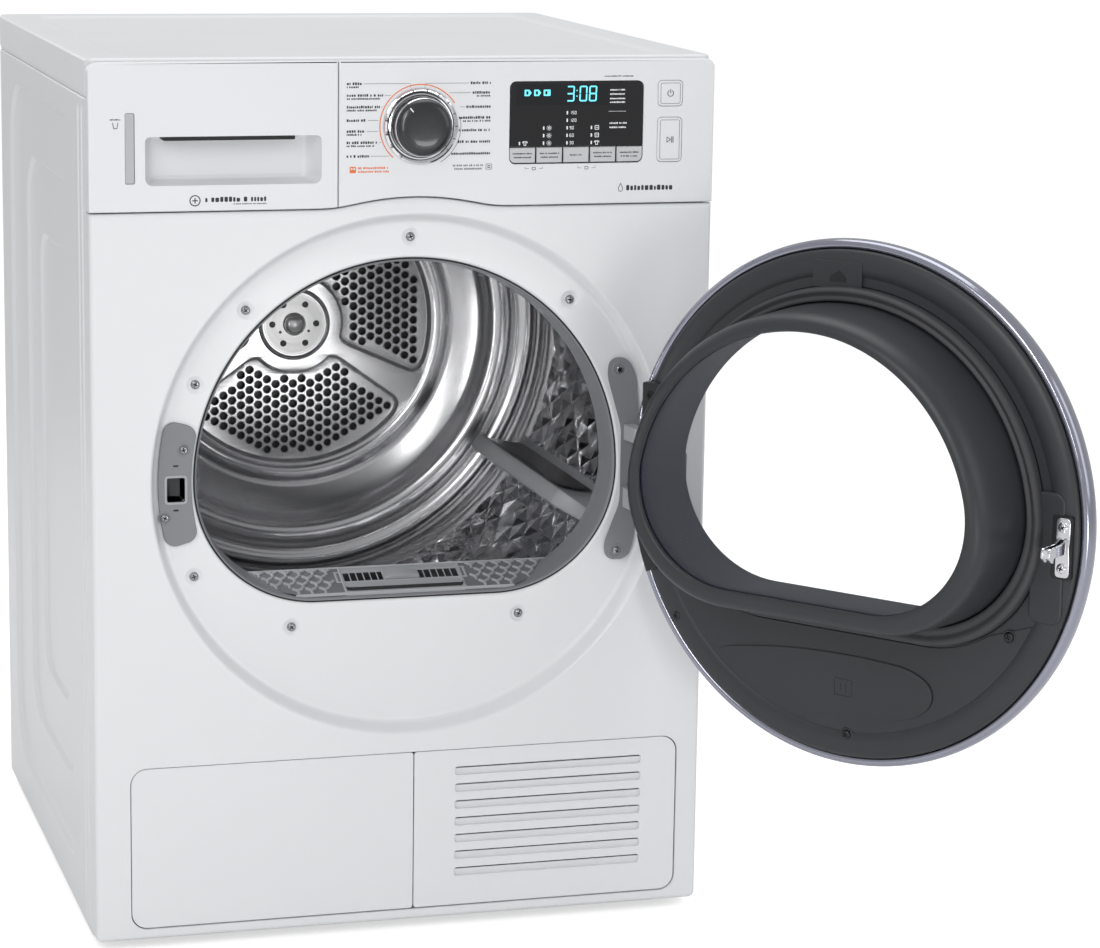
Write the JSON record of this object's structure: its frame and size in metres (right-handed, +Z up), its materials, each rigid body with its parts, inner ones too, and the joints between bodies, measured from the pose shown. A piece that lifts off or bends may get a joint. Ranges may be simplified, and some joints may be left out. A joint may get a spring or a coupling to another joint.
{
  "type": "clothes dryer",
  "caption": "Free-standing front-loading heat-pump clothes dryer with a round door open to the right, stainless drum, water drawer, knob and display.",
  "frame": {"origin": "on the floor, at the centre of the footprint of the whole dryer with its door open as at rest; the cabinet's own centre line is 121 mm towards -X and its front face 101 mm towards -Y from it", "axes": "+X to the right as seen from the front, +Y towards the back, +Z up"},
  "size_m": [0.8423, 1.0388, 0.85],
  "materials": {
    "white_paint": "gloss enamel on pressed sheet",
    "white_plastic": "semi-gloss moulded",
    "zinc_steel": "zinc-plated sheet",
    "stainless": "polished and embossed",
    "chrome": "mirror",
    "dark_plastic": "fine satin texture",
    "grey_plastic": "satin",
    "light_grey_plastic": "satin",
    "black_glass": "gloss black panel",
    "black_gloss": "high gloss",
    "silver_rim": "glossy silver with a faint violet cast",
    "clear_glass": "clear",
    "rubber": "matte",
    "aluminium": "bare",
    "black_steel": "black enamel",
    "green_board": "solder mask"
  },
  "bodies": {
    "cabinet": {"base_moulding": "white_plastic", "front_panel": "white_paint", "side_panel_left": "white_paint", "side_panel_right": "white_paint", "rear_panel": "zinc_steel", "top_panel": "white_plastic", "control_panel": "white_plastic", "display_glass": "black_glass", "knob_bezel": "chrome", "circuit_board": "green_board", "front_bulkhead": "grey_plastic", "opening_throat": "grey_plastic", "lint_grille": "light_grey_plastic", "lock_cover": "grey_plastic", "lock_housing": "dark_plastic", "hinge_bracket": "grey_plastic", "hinge_pin": "chrome", "vent_grille": "white_plastic", "exchanger_cover": "white_plastic", "heat_exchanger": "aluminium", "compressor": "black_steel", "motor": "black_steel", "fan_housing": "grey_plastic", "rear_crossmember": "zinc_steel", "drive_belt": "rubber"},
    "door": {"door_frame": "dark_plastic", "door_rim": "silver_rim", "door_window": "clear_glass", "door_outer_glass": "clear_glass", "door_seal": "rubber", "hinge_leaf": "aluminium", "latch_hook": "chrome"},
    "drum": {"drum_shell": "stainless", "drum_rear_wall": "stainless", "lifter_1": "light_grey_plastic", "lifter_2": "light_grey_plastic", "lifter_3": "light_grey_plastic"},
    "roller_left": {"support_roller_left": "rubber"},
    "roller_right": {"support_roller_right": "rubber"},
    "idler": {"idler_pulley": "dark_plastic"},
    "rotor": {"motor_shaft": "aluminium", "fan_impeller": "light_grey_plastic"},
    "water_drawer": {"drawer_front": "white_plastic", "water_tank": "light_grey_plastic"},
    "knob": {"program_knob": "black_gloss"},
    "power": {"power_button": "white_plastic"},
    "start": {"start_button": "white_plastic"},
    "lid": {"exchanger_lid": "white_plastic"},
    "lock_left": {"cover_lock_left": "grey_plastic"},
    "lock_right": {"cover_lock_right": "grey_plastic"},
    "filter": {"lint_filter": "grey_plastic"},
    "front_left_foot": {"foot_front_left": "dark_plastic"},
    "front_right_foot": {"foot_front_right": "dark_plastic"},
    "back_left_foot": {"foot_back_left": "dark_plastic"},
    "back_right_foot": {"foot_back_right": "dark_plastic"},
    "key_1": {"option_key_1": "light_grey_plastic"},
    "key_2": {"option_key_2": "light_grey_plastic"},
    "key_3": {"option_key_3": "light_grey_plastic"},
    "key_4": {"option_key_4": "light_grey_plastic"},
    "key_5": {"option_key_5": "light_grey_plastic"}
  },
  "joints": [
    {"name": "door_hinge", "type": "hinge", "parent": "cabinet", "child": "door", "pos_m": [0.119, -0.117, 0.452], "axis": [0, 0, 1], "range_deg": [-127.6, 17.4]},
    {"name": "drum_spin", "type": "hinge", "parent": "cabinet", "child": "drum", "pos_m": [-0.114, 0.199, 0.517], "axis": [0, 1, 0], "continuous": true},
    {"name": "roller_left_spin", "type": "hinge", "parent": "cabinet", "child": "roller_left", "pos_m": [-0.28865, -0.001, 0.26757], "axis": [0, 1, 0], "continuous": true},
    {"name": "roller_right_spin", "type": "hinge", "parent": "cabinet", "child": "roller_right", "pos_m": [0.06065, -0.001, 0.26757], "axis": [0, 1, 0], "continuous": true},
    {"name": "idler_spin", "type": "hinge", "parent": "cabinet", "child": "idler", "pos_m": [0.084, 0.166, 0.205], "axis": [0, 1, 0], "continuous": true},
    {"name": "rotor_spin", "type": "hinge", "parent": "cabinet", "child": "rotor", "pos_m": [0.029, 0.259, 0.125], "axis": [0, 1, 0], "continuous": true},
    {"name": "tank_slide", "type": "slide", "parent": "cabinet", "child": "water_drawer", "axis": [0, -1, 0], "range_m": [0, 0.36]},
    {"name": "knob_turn", "type": "hinge", "parent": "cabinet", "child": "knob", "pos_m": [-0.11, -0.101, 0.786], "axis": [0, 1, 0], "continuous": true},
    {"name": "power_press", "type": "slide", "parent": "cabinet", "child": "power", "axis": [0, 1, 0], "range_m": [0, 0.0015], "stiffness_N_per_m": 400, "springref_m": -0.002},
    {"name": "start_press", "type": "slide", "parent": "cabinet", "child": "start", "axis": [0, 1, 0], "range_m": [0, 0.0015], "stiffness_N_per_m": 400, "springref_m": -0.002},
    {"name": "key_1_press", "type": "slide", "parent": "cabinet", "child": "key_1", "axis": [0, 1, 0], "range_m": [0, 0.001], "stiffness_N_per_m": 400, "springref_m": -0.002},
    {"name": "key_2_press", "type": "slide", "parent": "cabinet", "child": "key_2", "axis": [0, 1, 0], "range_m": [0, 0.001], "stiffness_N_per_m": 400, "springref_m": -0.002},
    {"name": "key_3_press", "type": "slide", "parent": "cabinet", "child": "key_3", "axis": [0, 1, 0], "range_m": [0, 0.001], "stiffness_N_per_m": 400, "springref_m": -0.002},
    {"name": "key_4_press", "type": "slide", "parent": "cabinet", "child": "key_4", "axis": [0, 1, 0], "range_m": [0, 0.001], "stiffness_N_per_m": 400, "springref_m": -0.002},
    {"name": "key_5_press", "type": "slide", "parent": "cabinet", "child": "key_5", "axis": [0, 1, 0], "range_m": [0, 0.001], "stiffness_N_per_m": 400, "springref_m": -0.002},
    {"name": "lid_hinge", "type": "hinge", "parent": "cabinet", "child": "lid", "pos_m": [-0.249, -0.1005, 0.0275], "axis": [1, 0, 0], "range_deg": [0, 90]},
    {"name": "lock_left_turn", "type": "hinge", "parent": "cabinet", "child": "lock_left", "pos_m": [-0.356, -0.066, 0.114], "axis": [0, 1, 0], "range_deg": [0, 90]},
    {"name": "lock_right_turn", "type": "hinge", "parent": "cabinet", "child": "lock_right", "pos_m": [-0.144, -0.066, 0.114], "axis": [0, 1, 0], "range_deg": [0, 90]},
    {"name": "filter_lift", "type": "slide", "parent": "cabinet", "child": "filter", "axis": [0, 0, 1], "range_m": [0, 0.15]},
    {"name": "front_left_foot_level", "type": "slide", "parent": "cabinet", "child": "front_left_foot", "axis": [0, 0, -1], "range_m": [0, 0.012]},
    {"name": "front_right_foot_level", "type": "slide", "parent": "cabinet", "child": "front_right_foot", "axis": [0, 0, -1], "range_m": [0, 0.012]},
    {"name": "back_left_foot_level", "type": "slide", "parent": "cabinet", "child": "back_left_foot", "axis": [0, 0, -1], "range_m": [0, 0.012]},
    {"name": "back_right_foot_level", "type": "slide", "parent": "cabinet", "child": "back_right_foot", "axis": [0, 0, -1], "range_m": [0, 0.012]}
  ],
  "couplings": [
    {"joint": "roller_left_spin", "follows": "drum_spin", "ratio": -9.133},
    {"joint": "roller_right_spin", "follows": "drum_spin", "ratio": -9.133},
    {"joint": "idler_spin", "follows": "drum_spin", "ratio": 9.339},
    {"joint": "rotor_spin", "follows": "drum_spin", "ratio": 23.96}
  ]
}
